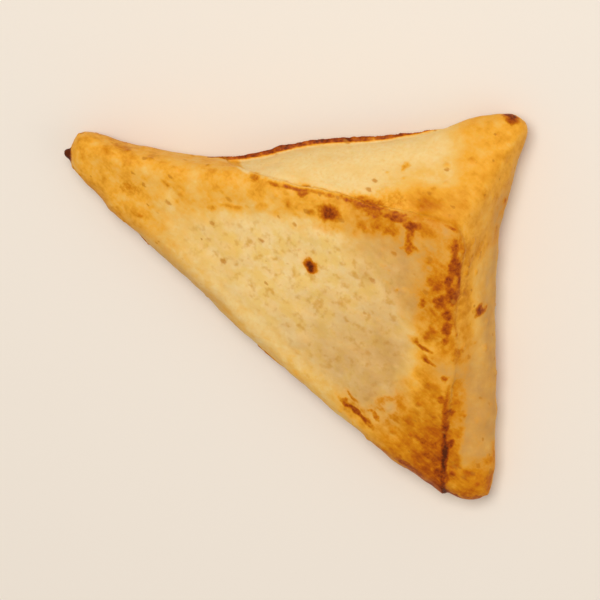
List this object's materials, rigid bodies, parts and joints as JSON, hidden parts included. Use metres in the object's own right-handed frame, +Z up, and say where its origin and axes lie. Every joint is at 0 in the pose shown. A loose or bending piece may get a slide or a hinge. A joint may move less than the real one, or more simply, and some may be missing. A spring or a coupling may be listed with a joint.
{
  "type": "samosa",
  "caption": "Triangular baked samosa: a plump parcel of folded thin pastry with a closing flap over its large top panel, resting on its flat underside.",
  "frame": {"origin": "middle of the bounding box's footprint, on the table", "axes": "+X along the long folded side, from the left tip to the right tip; +Y towards the peak tip; +Z up, out of the large top panel"},
  "size_m": [0.106, 0.0686, 0.0219],
  "materials": {
    "crust": "baked thin pastry, pale cream-yellow panels with golden to red-brown folds, dry with a faint sheen of oil"
  },
  "bodies": {
    "root": {"samosa": "crust"}
  },
  "joints": []
}
